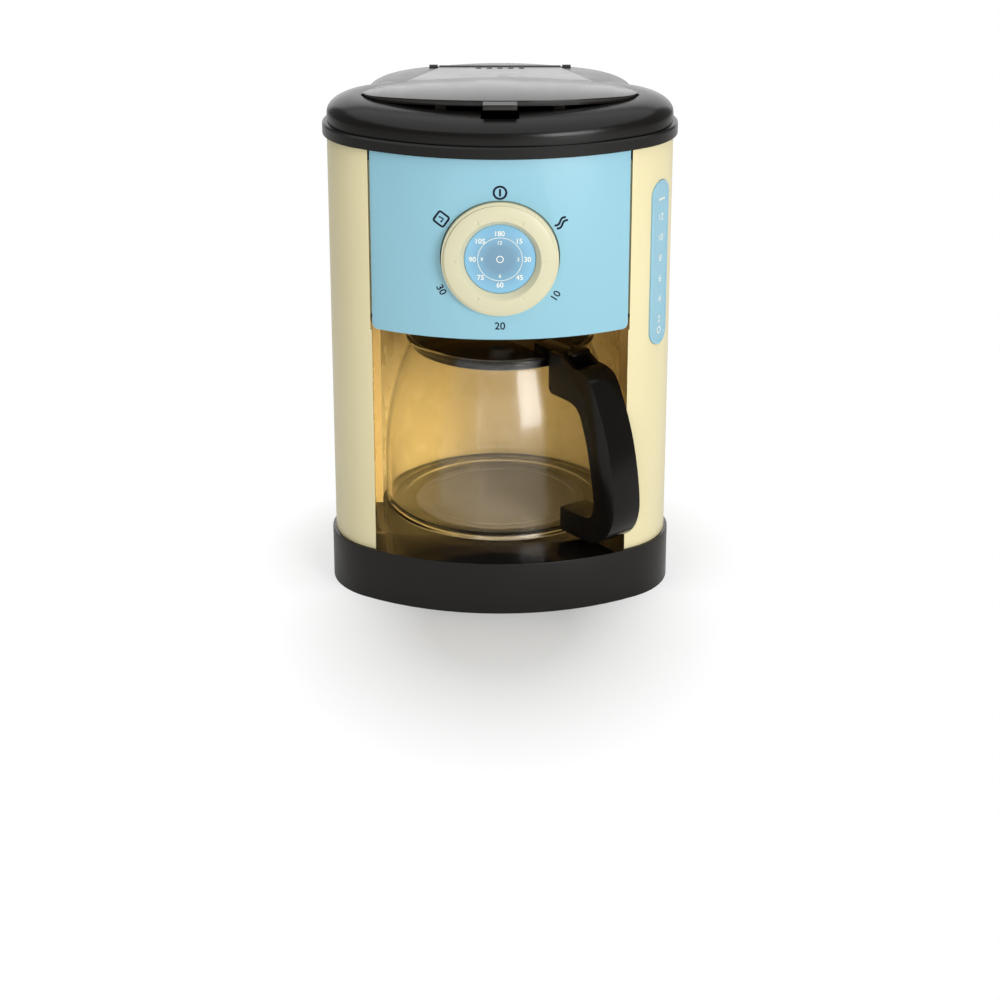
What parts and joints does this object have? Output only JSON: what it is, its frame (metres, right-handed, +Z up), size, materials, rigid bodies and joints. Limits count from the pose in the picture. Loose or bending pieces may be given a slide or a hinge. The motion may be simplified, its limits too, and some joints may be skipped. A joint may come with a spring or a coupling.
{
  "type": "toy coffee maker",
  "caption": "Toy drip coffee maker with a hinged tank lid, a turning tap dial, an open jug bay and a clear lift-out jug with a hinged lid.",
  "frame": {"origin": "on the table, under the middle of the oval front part of the base", "axes": "+Z up, -Y towards the front with the dial, +X to the user's right"},
  "size_m": [0.1658, 0.1515, 0.247],
  "materials": {
    "black_gloss": "polished black moulding",
    "black_satin": "satin black moulding",
    "black_clear": "polished dark lid moulding",
    "cream": "smooth cream moulding",
    "bay_cream": "smooth deep cream moulding",
    "blue": "smooth pale blue moulding",
    "face_blue": "polished blue insert",
    "gauge_blue": "polished blue insert",
    "clear": "clear moulded plastic",
    "inner_plastic": "plain inner moulding",
    "plate_dark": "fine textured dark plate",
    "seal_rubber": "black rubber",
    "screw_steel": "zinc plated steel"
  },
  "bodies": {
    "housing": {"base": "black_satin", "base_plate": "black_satin", "base_screws": "screw_steel", "hotplate": "plate_dark", "body_shell": "cream", "body_screws": "screw_steel", "bay_liner": "bay_cream", "front_panel": "blue", "level_gauge": "gauge_blue", "top_cover": "black_gloss", "reservoir": "black_satin", "tank_gasket": "seal_rubber", "tap_body": "inner_plastic", "tap_screws": "screw_steel", "outlet_pipe": "inner_plastic"},
    "tank_lid": {"lid": "black_clear"},
    "dial": {"dial_shaft": "inner_plastic", "tap_seals": "seal_rubber", "dial_ring": "cream", "dial_face": "face_blue", "dial_screw": "screw_steel"},
    "jug": {"jug": "clear", "jug_handle": "black_satin", "handle_screw": "screw_steel", "jug_lid_pin": "screw_steel"},
    "jug_lid": {"jug_lid": "black_satin"}
  },
  "joints": [
    {"name": "lid_hinge", "type": "hinge", "parent": "housing", "child": "tank_lid", "pos_m": [0, 0.069, 0.23694], "axis": [-1, 0, 0], "range_deg": [0, 95]},
    {"name": "dial_turn", "type": "hinge", "parent": "housing", "child": "dial", "pos_m": [0, -0.02, 0.1776], "axis": [0, 1, 0], "range_deg": [0, 90]},
    {"name": "jug_slide", "type": "slide", "parent": "housing", "child": "jug", "axis": [0, -1, 0], "range_m": [0, 0.15]},
    {"name": "jug_lid_hinge", "type": "hinge", "parent": "jug", "child": "jug_lid", "pos_m": [0.03401, -0.01269, 0.1152], "axis": [0.7944, 0.6074, 0], "range_deg": [0, 10]}
  ]
}
